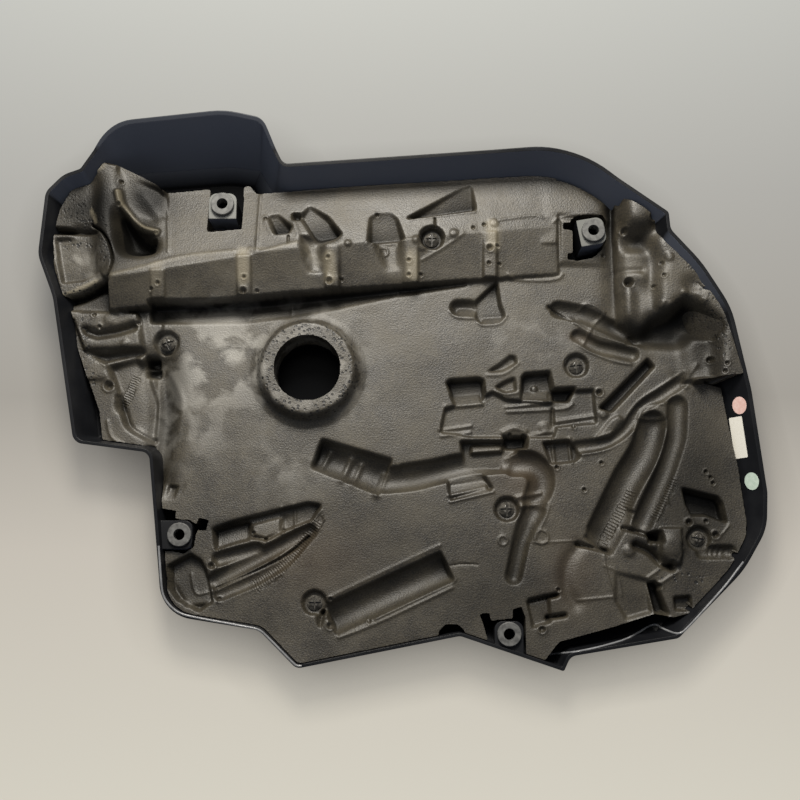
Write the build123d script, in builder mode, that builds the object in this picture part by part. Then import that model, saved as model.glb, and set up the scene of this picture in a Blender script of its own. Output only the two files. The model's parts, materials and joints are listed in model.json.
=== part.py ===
"""Engine cover lying on its outer face, underside up: shell, acoustic foam, grommets, clips, labels."""
import os
from math import atan2, cos, hypot, radians, sin, tan

from build123d import *

os.makedirs("parts", exist_ok=True)

# Shell sizes in millimetres
WALL = 2.8
PANEL = 3.0
RIM_LEVEL = 50.0
SHOULDER_HEIGHT = 9.0
SHOULDER_WIDTH = 11.0
TALLEST_RIM = 84.0
SMALLEST_RADIUS = 1.0
ROUND_SHARE = 0.45

# Corners of the skirt at RIM_LEVEL: x, y, corner radius, lean of the wall that starts there
SKIRT = [
    (-286, 194, 5, 15),
    (-259, 227, 64, 20),
    (-157, 235, 90, 20),
    (-125, 230, 6, 15),
    (-106, 197, 12, 18),
    (156, 213, 115, 20),
    (240, 156, 6, 20),
    (242, 138, 10, 30),
    (269, 110, 120, 30),
    (295, 71, 80, 34),
    (314, -3, 60, 34),
    (329.5, -93, 40, 34),
    (329.5, -126, 60, 32),
    (310, -162, 90, 28),
    (252, -222, 8, 14),
    (150, -239, 5, 10),
    (145, -250, 5, 5),
    (53, -219, 8, 5),
    (-89, -247, 10, 5),
    (-122, -214, 14, 5),
    (-208, -200, 34, 8),
    (-221, -60, 6, 14),
    (-289, -51, 10, 20),
    (-308, 81, 60, 20),
    (-322, 120, 25, 16),
    (-316, 175, 10, 16),
    (-302, 189, 22, 16),
]
LABEL_WALL = 10

# Side profile of the rim, y and height, with the radius of its bends
RIM_PROFILE = [(-300, 29.5), (-160, 37), (190, 61), (214, 66), (252, 83), (300, 84)]
RIM_BEND = 30.0

# Rubber grommets and their holders: x, y, height of the holder's plate, turn, reach of its front
GROMMETS = {
    "grommet_upper_left": (-160, 167, 51, 0, 13),
    "grommet_upper_right": (177, 145, 42, -80, 13),
    "grommet_lower_left": (-193, -130, 32, -90, 40),
    "grommet_lower_middle": (96, -216, 29, 0, 40),
}
GROMMET_BORE = 10.0
GROMMET_NECK = 15.0
GROMMET_FLANGE = 21.0
GROMMET_FLANGE_HEIGHT = 4.0
GROMMET_FOOT = 17.0
GROMMET_FOOT_HEIGHT = 5.0
GROMMET_EDGE = 0.8
HOLDER_WIDTH = 25.0
HOLDER_CORNER = 7.0
HOLDER_WALL = 2.3
HOLDER_PLATE = 3.0
SEAT_GAP = 0.2
HOLDER_BACK = GROMMET_FOOT / 2 + SEAT_GAP + HOLDER_WALL

# Foam: gap to the shell, level of its main face, and the draft of its pockets
FOAM_GAP = 0.3
FIELD = 28.0
FOAM_CEILING = 110.0
DRAFT = 8.0

# Push-in clips that pin the foam: x, y, height of the foam seat under the head, turn
CLIPS = {
    "foam_clip_left": (-211, 44, FIELD - 6, 20),
    "foam_clip_top": (30, 139, FIELD + 6, 0),
    "foam_clip_right": (161, 23, FIELD - 6, 5),
    "foam_clip_centre": (96, -107, FIELD - 6, 0),
    "foam_clip_bottom": (-74, -189, FIELD - 6, 0),
    "foam_clip_corner": (265, -133, FIELD - 6, -10),
}
CLIP_HEAD = 13.5
CLIP_RIM = 1.2
CLIP_TIP = 6.0
CLIP_CONE = 4.2
CLIP_DOME = 0.8
CLIP_SLOT = 1.4
CLIP_SLOT_DEPTH = 3.6
CLIP_SHANK = 6.0
CLIP_RECESS = 21.0
BOSS = 11.0
BOSS_BELOW_SEAT = 8.0

# Paper label and stickers on the right wall: place along the wall and up it from RIM_LEVEL
PAPER = 0.2
LABEL_LENGTH = 37.0
LABEL_WIDTH = 14.5
LABEL_PLACE = (38, -26)
LABEL_TURN = -5.0
LABEL_CORNER = 1.0
STICKER = 15.5
STICKERS = {"round_sticker_pink": (10.5, -17), "round_sticker_green": (78.5, -22)}

# Outer edge of the foam, clockwise from the lobe; it runs past the wall where it fills the cover
FOAM_EDGE = [
    (-217, 185), (-177, 189), (-138, 192), (-131, 184), (1, 196), (134, 207), (157, 203), (193, 175),
    (206, 177), (223, 174), (265, 175), (340, 80), (340, 14), (270, 8), (291, 3), (297, -36), (303, -70),
    (308, -117), (307, -130), (296, -161), (270, -195), (240, -202), (224, -199), (185, -211), (140, -223),
    (110, -260), (54, -230), (-90, -265), (-130, -230), (-240, -215), (-240, -80), (-263, -65), (-270, -19),
    (-283, 15), (-295, 48), (-301, 81), (-309, 84), (-312, 107), (-315, 142), (-310, 166), (-301, 183),
    (-285, 193), (-281, 206), (-275, 212), (-254, 206), (-223, 190),
]

# Ridge across the top: x of a station, then y and height of its back edge, crest and lower edge
RIDGE = [
    (-262, (183, 32), (97, 58), (70, 44)),
    (-98, (187, 32), (125, 56), (87, 43)),
    (146, (208, 32), (152, 36), (108, 30)),
]
RIDGE_BACK = 250.0
PILLAR_PLACES = [-216, -139, -60, 11, 83]
PILLAR_WIDTH = 13.0
PILLAR_STAND = 5.0

# Filler collar: place, level of its top, diameters
COLLAR = (-82, 18)
COLLAR_TOP = 44.0
COLLAR_OUTER = 88.0
COLLAR_BORE = 59.0
COLLAR_FLARE = 9.0

# Raised blocks of the foam: corners and level
RAISED = {
    "upper_left_block": (
        [(-320, 84), (-302, 83), (-289, 85), (-276, 90), (-262, 97), (-215, 106), (-215, 195),
         (-254, 215), (-290, 215), (-320, 190)], 44.0),
    "upper_left_hump": (
        [(-276, 210), (-258, 206), (-255, 178), (-257, 118), (-250, 99), (-264, 98), (-274, 112)], 50.0),
    "left_flap": ([(-310, 90), (-240, 90), (-214, 60), (-222, 20), (-255, 10), (-300, 10)], 31.0),
    "left_rib": ([(-298, 72), (-237, 70), (-231, 37), (-284, 36)], 37.0),
    "right_base": (
        [(198, 185), (270, 180), (340, 80), (340, 12), (266, 6), (256, 44), (224, 50), (200, 62)], 36.0),
    "right_dome": ([(203, 185), (270, 185), (270, 145), (206, 149)], 50.0),
    "right_saddle": ([(201, 147), (226, 147), (227, 66), (204, 63)], 43.0),
    "right_plateau": (
        [(232, 152), (270, 152), (340, 80), (340, 12), (266, 6), (256, 44), (240, 50), (233, 66)], 50.0),
    "wedge": ([(231, -124), (250, -124), (248, -156), (230, -156)], 33.0),
    "tongue": ([(131, 162), (146, 162), (145, 135), (130, 135)], 36.0),
}

# Pockets: corners, level of the opening and depth
POCKETS = {
    "upper_left_well": (
        [(-259, 168), (-249, 160), (-241, 149), (-231, 140), (-220, 134), (-219, 124), (-249, 123),
         (-255, 144)], 46, 26),
    "half_moon": (
        [(-250, 185), (-246, 193), (-222, 158), (-220, 152), (-230, 154), (-243, 165), (-248, 174)], 44, 8),
    "block_groove": ([(-325, 149), (-276, 146), (-275, 141), (-325, 142)], 44, 7),
    "rib_slot": (
        [(-288, 58), (-273, 54), (-255, 57), (-238, 62), (-236, 55), (-255, 49), (-273, 46), (-284, 50)],
        37, 8),
    "flap_trough": (
        [(-264, 22), (-238, 30), (-227, 17), (-217, -15), (-220, -44), (-245, -32), (-250, -18), (-255, 0)],
        30, 9),
    "quad": ([(-119, 159), (-111, 161), (-98, 148), (-101, 142), (-112, 141)], 46, 8),
    "house": (
        [(-82, 170), (-73, 164), (-65, 158), (-54, 140), (-58, 137), (-73, 131), (-90, 159)], 46, 10),
    "crest_dip_left": ([(-90, 140), (-70, 134), (-66, 104), (-82, 104)], 56, 13),
    "half_round": ([(-26, 157), (-21, 162), (-8, 163), (-2, 157), (4, 136), (-27, 133)], 46, 10),
    "crest_dip_right": ([(-25, 140), (2, 139), (2, 110), (-12, 108)], 50, 11),
    "triangle": ([(9, 158), (59, 189), (67, 192), (70, 168)], 36, 6),
    "block_hollow": ([(203, 146), (229, 146), (228, 126), (202, 126)], 50, 20),
    "block_hole": ([(205, 103), (214, 103), (214, 94), (205, 94)], 43, 15),
    "deep_hollow": (
        [(229, 66), (244, 71), (261, 83), (273, 74), (290, 55), (282, 46), (264, 46), (210, 46)], 50, 32),
    "under_hollow": ([(205, 52), (262, 50), (262, 40), (214, 42)], FIELD, 11),
    "small_recess": ([(258, 101), (269, 98), (279, 88), (258, 88)], 50, 6),
    "pocket_left": ([(43, 7), (46, 10), (72, 12), (77, 10), (78, -2), (75, -14), (51, -15)], FIELD, 11),
    "pocket_right": ([(111, 12), (114, 16), (137, 18), (140, 2), (137, -9), (110, -9)], FIELD, 11),
    "crescent": ([(80, 17), (94, 18), (107, 25), (106, 31), (101, 32), (92, 25)], FIELD, 5),
    "lens": ([(87, 3), (97, 9), (105, 12), (106, 0), (96, -2)], FIELD, 5),
    "wide_recess": (
        [(41, -17), (76, -5), (85, -1), (97, -8), (137, -11), (158, 0), (176, 1), (178, -30), (142, -34),
         (139, -43), (67, -43), (37, -38)], FIELD, 5),
    "connector": (
        [(55, -46), (96, -45), (108, -48), (107, -56), (96, -62), (92, -73), (58, -72)], FIELD, 11),
    "plate": ([(42, -75), (75, -75), (84, -89), (46, -99)], FIELD, 7),
    "collar_nest": (
        [(129, -47), (152, -45), (160, -52), (163, -60), (157, -65), (136, -67)], FIELD, 9),
    "pennant": ([(90, 102), (93, 80), (97, 69), (91, 63), (75, 62), (70, 67), (70, 83)], FIELD, 6),
    "spray": (
        [(-165, -124), (-145, -117), (-81, -101), (-69, -103), (-77, -117), (-100, -126), (-117, -135),
         (-132, -133), (-161, -143)], FIELD, 8),
    "corner_pocket": (
        [(-204, -157), (-184, -146), (-174, -152), (-169, -162), (-163, -188), (-175, -197), (-194, -187),
         (-203, -175)], FIELD, 10),
    "dark_pocket": (
        [(252, -88), (284, -96), (288, -102), (291, -120), (273, -113), (260, -113), (255, -103)], FIELD, 16),
    "corner_wall": ([(218, -171), (226, -170), (237, -200), (224, -198)], FIELD, 14),
    "corner_recess": ([(241, -184), (256, -183), (257, -196), (242, -196)], FIELD, 7),
    "slot": ([(113, -186), (140, -180), (141, -184), (114, -190)], FIELD, 9),
    "slot_box": ([(112, -188), (132, -185), (133, -206), (117, -211)], FIELD, 6),
    "bracket_trough": ([(180, -16), (226, 30), (232, 22), (192, -20)], FIELD, 10),
}

# Openings right through the foam: round the grommet holders and at the rim
ROOMS = {
    "upper_left_room": [(-175, 200), (-144, 200), (-143, 146), (-174, 143)],
    "upper_right_room": [
        (158, 158), (164, 162), (188, 163), (191, 158), (191, 140), (186, 131), (178, 124), (164, 121),
        (155, 122), (155, 127), (158, 128), (158, 148), (151, 148), (151, 155), (158, 155)],
    "lower_left_room": [
        (-235, -108), (-209, -107), (-198, -109), (-199, -116), (-186, -117), (-179, -121), (-177, -115),
        (-169, -117), (-171, -126), (-178, -125), (-180, -130), (-181, -140), (-190, -146), (-199, -144),
        (-235, -144)],
    "lower_middle_room": [
        (79, -245), (79, -225), (74, -207), (71, -199), (79, -198), (80, -205), (88, -204), (100, -203),
        (100, -195), (107, -193), (110, -201), (110, -245)],
    "rim_notch": [(34, -240), (35, -214), (41, -208), (51, -208), (57, -213), (58, -240)],
}

# Round troughs for pipes and hoses: path, radius, rise of the axis over FIELD, radius of the bends
TROUGHS = {
    "bottle": ([(-68, -57), (-12, -79)], 17.0, 2, 0),
    "bottle_hose": ([(-14, -80), (50, -70)], 10.0, 0, 0),
    "elbow": ([(113, -67), (128, -76), (121, -99)], 10.5, 2, 14),
    "drop_hose": ([(121, -98), (118, -113), (108, -136), (101, -166)], 7.0, -1, 30),
    "cylinder": ([(-57, -202), (42, -158)], 15.0, 1, 0),
    "wide_hose": ([(228, -32), (221, -54), (204, -80), (180, -127)], 14.0, 2, 60),
    "narrow_hose": ([(251, -14), (249, -42), (238, -72), (216, -119)], 9.5, 2, 60),
    "spike": ([(146, 75), (168, 71), (212, 50)], 8.0, 1, 40),
    "second_pipe": ([(163, 50), (180, 40), (212, 33)], 6.0, 0, 30),
    "lower_conduit": ([(-162, -170), (-80, -127)], 7.0, -1, 0),
    "short_conduit": ([(-158, -151), (-126, -143)], 6.5, -1, 0),
    "rib_conduit": ([(-157, -182), (-128, -170), (-100, -154), (-78, -127)], 6.0, 0, 60),
    "left_valley": ([(-205, 8), (-203, -34), (-207, -82)], 30.0, 24, 200),
    "saddle": ([(203, 116), (226, 116)], 14.0, 24, 0),
    "lower_saddle": ([(218, 92), (217, 66)], 9.0, 18, 0),
    "oval": ([(54, 77), (65, 77)], 7.0, 0, 0),
    "ribbed_finger": ([(268, -145), (292, -145)], 6.0, 0, 0),
}

# Cylinders stand on their place or hang from it
STANDING = (Align.CENTER, Align.CENTER, Align.MIN)
HANGING = (Align.CENTER, Align.CENTER, Align.MAX)


def section(height, inset):
    """Corners and radii of the skirt at a height, moved inwards by an inset measured across the wall."""
    count = len(SKIRT)
    lines = []
    for index in range(count):
        x0, y0, _, lean = SKIRT[index]
        x1, y1, _, _ = SKIRT[(index + 1) % count]
        run = hypot(x1 - x0, y1 - y0)
        along = ((x1 - x0) / run, (y1 - y0) / run)
        shift = (RIM_LEVEL - height) * tan(radians(lean)) + inset / cos(radians(lean))
        lines.append((x0 + along[1] * shift, y0 - along[0] * shift, along, shift))
    corners = []
    for index in range(count):
        x0, y0, before, shift_before = lines[index - 1]
        x1, y1, after, shift_after = lines[index]
        turn = before[0] * after[1] - before[1] * after[0]
        reach = ((x1 - x0) * after[1] - (y1 - y0) * after[0]) / turn
        mean_shift = (shift_before + shift_after) / 2
        radius = SKIRT[index][2] + (mean_shift if turn > 0 else -mean_shift)
        half_turn = abs(atan2(turn, before[0] * after[0] + before[1] * after[1])) / 2
        corners.append((x0 + before[0] * reach, y0 + before[1] * reach, radius, half_turn))
    points = [(x, y) for x, y, _, _ in corners]
    radii = []
    for index, (x, y, radius, half_turn) in enumerate(corners):
        back = hypot(x - corners[index - 1][0], y - corners[index - 1][1])
        ahead = hypot(x - corners[(index + 1) % count][0], y - corners[(index + 1) % count][1])
        most = ROUND_SHARE * min(back, ahead) / tan(half_turn)
        radii.append(max(SMALLEST_RADIUS, min(radius, most)))
    return points, radii


def skirt_face(height, inset):
    """Flat face bounded by the skirt at a height."""
    points, radii = section(height, inset)
    with BuildSketch(Plane.XY.offset(height)) as face:
        with BuildLine():
            FilletPolyline(*points, radius=radii, close=True)
        make_face()
    return face.sketch


def envelope(inset, bottom):
    """Solid bounded by the skirt and its shoulder, moved inwards by an inset and closed at a bottom."""
    shoulder = skirt_face(bottom + SHOULDER_HEIGHT, inset)
    with BuildPart() as solid:
        loft([skirt_face(bottom, inset + SHOULDER_WIDTH), shoulder], ruled=True)
        loft([shoulder, skirt_face(TALLEST_RIM, inset)], ruled=True)
    return solid.part


def wall_plane(index, along, up):
    """Plane on the inner face of a wall, at a place along it and up it from RIM_LEVEL."""
    x0, y0, _, lean = SKIRT[index]
    x1, y1, _, _ = SKIRT[index + 1]
    run = hypot(x1 - x0, y1 - y0)
    u = ((x1 - x0) / run, (y1 - y0) / run)
    rise, slope = cos(radians(lean)), sin(radians(lean))
    normal = Vector(u[1] * rise, -u[0] * rise, slope)
    upward = Vector(-u[1] * slope, u[0] * slope, rise)
    origin = Vector(x0, y0, RIM_LEVEL) + normal * WALL + Vector(*u, 0) * along + upward * up
    return Plane(origin=origin, x_dir=(*u, 0), z_dir=normal)


def polygon(points, level):
    """Flat polygon at a level."""
    with BuildSketch(Plane.XY.offset(level)) as face:
        with BuildLine():
            Polyline(*points, close=True)
        make_face()
    return face.sketch


def prism(points, bottom, top):
    """Upright prism over a polygon."""
    with BuildPart() as solid:
        extrude(polygon(points, bottom), amount=top - bottom)
    return solid.part


def pocket(points, level, depth):
    """Cutter for a pocket: its walls draw in from the opening's level to the floor."""
    with BuildPart() as solid:
        extrude(polygon(points, level), amount=FOAM_CEILING - level)
        extrude(polygon(points, level), amount=-depth, taper=DRAFT)
    return solid.part


def trough(path, radius, rise, bend):
    """Cutter for a round trough along a path of straight runs and arcs, with round ends."""
    points = [(x, y, FIELD + rise) for x, y in path]
    with BuildPart() as solid:
        with BuildLine() as line:
            if bend:
                FilletPolyline(*points, radius=bend)
            else:
                Polyline(*points)
        with BuildSketch(Plane(origin=line.line @ 0, z_dir=line.line % 0)):
            Circle(radius)
        sweep()
        with Locations(points[0], points[-1]):
            Sphere(radius)
    return solid.part


def ridge_at(x):
    """Back edge, crest and lower edge of the ridge at a place along it."""
    for before, after in zip(RIDGE, RIDGE[1:]):
        if x <= after[0]:
            share = (x - before[0]) / (after[0] - before[0])
            return [
                tuple(a + share * (b - a) for a, b in zip(edge, next_edge))
                for edge, next_edge in zip(before[1:], after[1:])
            ]
    return list(RIDGE[-1][1:])


def holder_face(front, inset):
    """Face with a straight front at minus y and round corners at its back, moved inwards by an inset."""
    back = HOLDER_BACK - inset
    with BuildSketch() as face:
        with Locations((0, (back - front + inset) / 2)):
            Rectangle(HOLDER_WIDTH - 2 * inset, back + front - inset)
        fillet(face.vertices().group_by(Axis.Y)[-1], HOLDER_CORNER - inset)
    return face.sketch


def neck_hole():
    """Eight-sided hole that a grommet's neck sits in."""
    with BuildSketch() as face:
        RegularPolygon(GROMMET_NECK / 2 + SEAT_GAP, 8, major_radius=False)
    return face.sketch


# Shell: tray with a leaning skirt, grommet holders and clip bosses moulded in
holders = []
for x, y, plate_top, turn, front in GROMMETS.values():
    ground = Plane(origin=(x, y, PANEL / 2)).rotated((0, 0, turn))
    with BuildPart() as holder:
        extrude(ground * holder_face(front, 0), amount=plate_top - PANEL / 2)
        extrude(
            ground * holder_face(front, HOLDER_WALL),
            amount=plate_top - HOLDER_PLATE - PANEL / 2,
            mode=Mode.SUBTRACT,
        )
        extrude(ground * neck_hole(), amount=plate_top, mode=Mode.SUBTRACT)
        add(envelope(WALL / 2, PANEL / 2), mode=Mode.INTERSECT)
    holders.append(holder.part)

with BuildPart() as shell:
    add(envelope(0, 0))
    add(envelope(WALL, PANEL), mode=Mode.SUBTRACT)
    with BuildSketch(Plane.YZ):
        with BuildLine():
            FilletPolyline(*RIM_PROFILE, radius=RIM_BEND)
            Polyline(
                RIM_PROFILE[-1],
                (RIM_PROFILE[-1][0], TALLEST_RIM + RIM_BEND),
                (RIM_PROFILE[0][0], TALLEST_RIM + RIM_BEND),
                RIM_PROFILE[0],
            )
        make_face()
    extrude(amount=2 * max(x for x, *_ in SKIRT), both=True, mode=Mode.SUBTRACT)
    add(holders)
    for x, y, seat, _ in CLIPS.values():
        boss_top = seat - BOSS_BELOW_SEAT
        with Locations((x, y, PANEL / 2)):
            Cylinder(BOSS / 2, boss_top - PANEL / 2, align=STANDING)
        with Locations((x, y, PANEL)):
            Cylinder(CLIP_SHANK / 2 + SEAT_GAP, boss_top - PANEL, align=STANDING, mode=Mode.SUBTRACT)
shell.part.label = "cover_shell"
export_step(shell.part, "parts/cover_shell.step")

# Foam: slab, ridge, blocks and collar, trimmed to the cover and pressed with the engine's shapes
foam_back = PANEL + FOAM_GAP
ridge_faces = []
for x, back, crest, lower in RIDGE:
    with BuildSketch(Plane.YZ.offset(x)) as station:
        with BuildLine():
            Polyline(
                (lower[0], foam_back), lower, crest, back,
                (RIDGE_BACK, back[1]), (RIDGE_BACK, foam_back), close=True,
            )
        make_face()
    ridge_faces.append(station.sketch)

blocks = [prism(corners, foam_back, level) for corners, level in RAISED.values()]
for x in PILLAR_PLACES:
    back, crest, lower = ridge_at(x)
    with BuildPart() as pillar:
        with BuildSketch(Plane.YZ.offset(x)):
            with BuildLine():
                Polyline(
                    (lower[0], foam_back), (lower[0], lower[1] + PILLAR_STAND),
                    (crest[0], crest[1] + PILLAR_STAND / 4), (crest[0] + PILLAR_WIDTH, foam_back),
                    close=True,
                )
            make_face()
        extrude(amount=PILLAR_WIDTH / 2, both=True)
    blocks.append(pillar.part)

cutters = [pocket(*shape) for shape in POCKETS.values()]
cutters += [trough(*shape) for shape in TROUGHS.values()]
cutters += [prism(corners, 0, FOAM_CEILING) for corners in ROOMS.values()]
for x, y, seat, _ in CLIPS.values():
    with BuildPart() as clip_hole:
        with Locations((x, y, 0)):
            Cylinder(BOSS / 2 + FOAM_GAP, seat - BOSS_BELOW_SEAT + FOAM_GAP, align=STANDING)
            Cylinder(CLIP_SHANK / 2 + FOAM_GAP, FOAM_CEILING, align=STANDING)
        with Locations((x, y, seat)):
            Cylinder(CLIP_RECESS / 2, FOAM_CEILING, align=STANDING)
    cutters.append(clip_hole.part)

with BuildPart() as foam:
    add(prism(FOAM_EDGE, foam_back, FIELD))
    loft(ridge_faces, ruled=True)
    add(blocks)
    with BuildSketch(Plane.XZ.offset(-COLLAR[1])):
        with BuildLine():
            Polyline(
                (COLLAR[0], foam_back),
                (COLLAR[0] + COLLAR_OUTER / 2 + COLLAR_FLARE, foam_back),
                (COLLAR[0] + COLLAR_OUTER / 2 + COLLAR_FLARE, FIELD),
                (COLLAR[0] + COLLAR_OUTER / 2, FIELD + COLLAR_FLARE / 3),
                (COLLAR[0] + COLLAR_OUTER / 2, COLLAR_TOP),
                (COLLAR[0], COLLAR_TOP),
                close=True,
            )
        make_face()
    revolve(axis=Axis((*COLLAR, 0), (0, 0, 1)))
    add(prism(FOAM_EDGE, 0, FOAM_CEILING), mode=Mode.INTERSECT)
    add(envelope(WALL + FOAM_GAP, foam_back), mode=Mode.INTERSECT)
    with Locations((*COLLAR, 0)):
        Cylinder(COLLAR_BORE / 2, COLLAR_TOP, align=STANDING, mode=Mode.SUBTRACT)
    add(cutters, mode=Mode.SUBTRACT)
foam.part.label = "acoustic_foam"
export_step(foam.part, "parts/acoustic_foam.step")

# Grommets: two flanges round a neck that sits in the holder's slot
for name, (x, y, plate_top, *_) in GROMMETS.items():
    with BuildPart() as grommet:
        with Locations((x, y, plate_top + SEAT_GAP)):
            Cylinder(GROMMET_FLANGE / 2, GROMMET_FLANGE_HEIGHT, align=STANDING)
        fillet(grommet.edges().group_by(Axis.Z)[-1], GROMMET_EDGE)
        with Locations((x, y, plate_top + SEAT_GAP)):
            Cylinder(GROMMET_NECK / 2, HOLDER_PLATE + 2 * SEAT_GAP, align=HANGING)
        with Locations((x, y, plate_top - HOLDER_PLATE - SEAT_GAP)):
            Cylinder(GROMMET_FOOT / 2, GROMMET_FOOT_HEIGHT, align=HANGING)
        with Locations((x, y, 0)):
            Cylinder(GROMMET_BORE / 2, FOAM_CEILING, align=STANDING, mode=Mode.SUBTRACT)
    grommet.part.label = name
    export_step(grommet.part, f"parts/{name}.step")

# Clips: conical head split by a cross, on a shank in the shell's boss
for name, (x, y, seat, turn) in CLIPS.items():
    with BuildPart() as clip:
        with Locations((x, y, seat)):
            Cylinder(CLIP_HEAD / 2, CLIP_RIM, align=STANDING)
        with Locations((x, y, seat + CLIP_RIM)):
            Cone(CLIP_HEAD / 2, CLIP_TIP / 2, CLIP_CONE, align=STANDING)
        fillet(clip.edges().group_by(Axis.Z)[-1], CLIP_DOME)
        with Locations(Location((x, y, seat + CLIP_RIM + CLIP_CONE), (0, 0, turn))):
            Box(CLIP_HEAD, CLIP_SLOT, 2 * CLIP_SLOT_DEPTH, mode=Mode.SUBTRACT)
            Box(CLIP_SLOT, CLIP_HEAD, 2 * CLIP_SLOT_DEPTH, mode=Mode.SUBTRACT)
        with Locations((x, y, seat)):
            Cylinder(CLIP_SHANK / 2, seat - PANEL - SEAT_GAP, align=HANGING)
    clip.part.label = name
    export_step(clip.part, f"parts/{name}.step")

# Paper label and round stickers on the right wall
with BuildPart() as label:
    with BuildSketch(wall_plane(LABEL_WALL, *LABEL_PLACE)):
        RectangleRounded(LABEL_LENGTH, LABEL_WIDTH, LABEL_CORNER, rotation=LABEL_TURN)
    extrude(amount=PAPER)
label.part.label = "paper_label"
export_step(label.part, "parts/paper_label.step")

for name, place in STICKERS.items():
    with BuildPart() as sticker:
        with BuildSketch(wall_plane(LABEL_WALL, *place)):
            Circle(STICKER / 2)
        extrude(amount=PAPER)
    sticker.part.label = name
    export_step(sticker.part, f"parts/{name}.step")
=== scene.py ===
"""Looks of the engine cover: materials, the worked surface of the foam, camera, floor and light."""
import json
from math import pi, radians

import bmesh
import bpy
import numpy as np
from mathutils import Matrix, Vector
from mathutils.bvhtree import BVHTree


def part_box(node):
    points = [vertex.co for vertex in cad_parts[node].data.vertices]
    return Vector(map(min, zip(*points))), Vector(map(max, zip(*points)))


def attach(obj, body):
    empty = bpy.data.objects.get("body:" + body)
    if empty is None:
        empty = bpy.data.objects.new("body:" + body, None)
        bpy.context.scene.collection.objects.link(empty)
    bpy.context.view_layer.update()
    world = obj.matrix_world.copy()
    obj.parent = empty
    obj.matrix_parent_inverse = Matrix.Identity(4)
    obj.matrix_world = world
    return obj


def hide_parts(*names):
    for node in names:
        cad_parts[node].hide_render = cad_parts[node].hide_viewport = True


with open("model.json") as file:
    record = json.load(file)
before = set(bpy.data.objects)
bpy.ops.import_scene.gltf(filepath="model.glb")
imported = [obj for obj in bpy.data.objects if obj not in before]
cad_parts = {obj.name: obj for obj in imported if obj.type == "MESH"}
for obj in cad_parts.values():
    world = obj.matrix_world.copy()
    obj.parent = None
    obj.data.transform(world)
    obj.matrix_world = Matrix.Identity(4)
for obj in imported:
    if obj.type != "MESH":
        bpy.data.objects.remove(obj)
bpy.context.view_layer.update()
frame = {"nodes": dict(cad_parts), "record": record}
MM = 0.001

# Foam surface in millimetres: grid step, softness of moulded edges, least thickness
GRID = 0.8
EDGE_SOFTNESS = 0.9
LEAST_FOAM = 3

# Most triangles of the foam, and the angle in degrees from which its edges are sharp
FOAM_TRIANGLES = 190000
SHARP_ANGLE = 65

# Rounds that smooth the foam's outline, and steps that move its back's edge in to the solid's leaning sides
OUTLINE_TURNS = 4
BACK_STEPS = 12

# Height from which rays are cast down at the CAD nodes
RAY_START = 200

# Uneven skin: seed, then the blur of each wave and its height
SEED = 4
SKIN_WAVES = [(15, 0.3), (4, 0.035), (1.4, 0.02)]

# Painted shade in hollows: width of the surroundings, depth below them where it starts, depth over which it
# grows
HOLLOW_WIDTH = 13
HOLLOW_START = 1
HOLLOW_DEPTH = 8

# Power by which round lips and grooves, and flat pads and patches, fall off at their sides
ROUND_TOP = 2
FLAT_TOP = 4

# Lengths over which soft zones and the flat ends of troughs fade in
ZONE_FADE = 8
BARREL_FADE = 2

# Collar of the filler neck: middle, band of its rounded shoulder, and where its pits begin to end and end
COLLAR = (-82, 18)
SHOULDER = (34, 54)
SHOULDER_FADE = 4
SHOULDER_SOFTNESS = 1.6
COLLAR_PITS = (46, 48)

# Floors that close a hollow right through the foam: level, outline
FLOORS = {
    "deep_hollow": (9, [(246, 46), (252, 82), (262, 84), (276, 74), (290, 57), (286, 46)]),
    "room_plate": (25, [(149, 128), (160, 127), (160, 149), (149, 150)]),
    "hollow_band": (9, [(186, 60), (200, 64), (230, 66), (252, 60), (252, 46), (236, 44)]),
}

# Parts of the solid that are shaped anew: level, outline
LEVELLED = {
    "left_valley": (28, [(-219, 31), (-190, 31), (-180, -20), (-182, -70), (-200, -100), (-219, -108)]),
    "bottle": (28, [
        (-92, -50), (-78, -32), (-60, -32), (-3, -55), (2, -68), (0, -94), (-14, -106), (-86, -76),
    ]),
    "cylinder": (28, [
        (-66, -201), (-60, -184), (46, -136), (64, -150), (62, -168), (-50, -226), (-70, -216),
    ]),
}

# Zones whose edges are rounder: softness, outline
SOFT_ZONES = {
    "left_block": (3.6, [(-296, 104), (-298, 196), (-262, 204), (-218, 180), (-210, 125), (-250, 103)]),
    "right_block": (4.0, [
        (200, 62), (200, 178), (230, 170), (252, 140), (282, 92), (298, 40), (298, 10), (250, 10),
    ]),
    "saddle": (2.4, [(-92, 138), (-52, 138), (-54, 104), (-88, 104)]),
    "half_round_saddle": (2.4, [(-30, 132), (8, 132), (10, 98), (-24, 98)]),
    "flap": (1.6, [
        (-292, 76), (-232, 66), (-220, 30), (-218, -44), (-246, -48), (-262, -30), (-272, -2),
    ]),
}

# Troughs with flat ends: radius at each end, floor level, axis
BARRELS = {
    "bottle": (14, 18, 14, [(-74, -57), (-11, -79)]),
    "cylinder": (15, 15, 16, [(-61, -204), (43, -157)]),
    "wide_hose": (13, 17, 19, [(200, -103), (175, -141)]),
}

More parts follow.
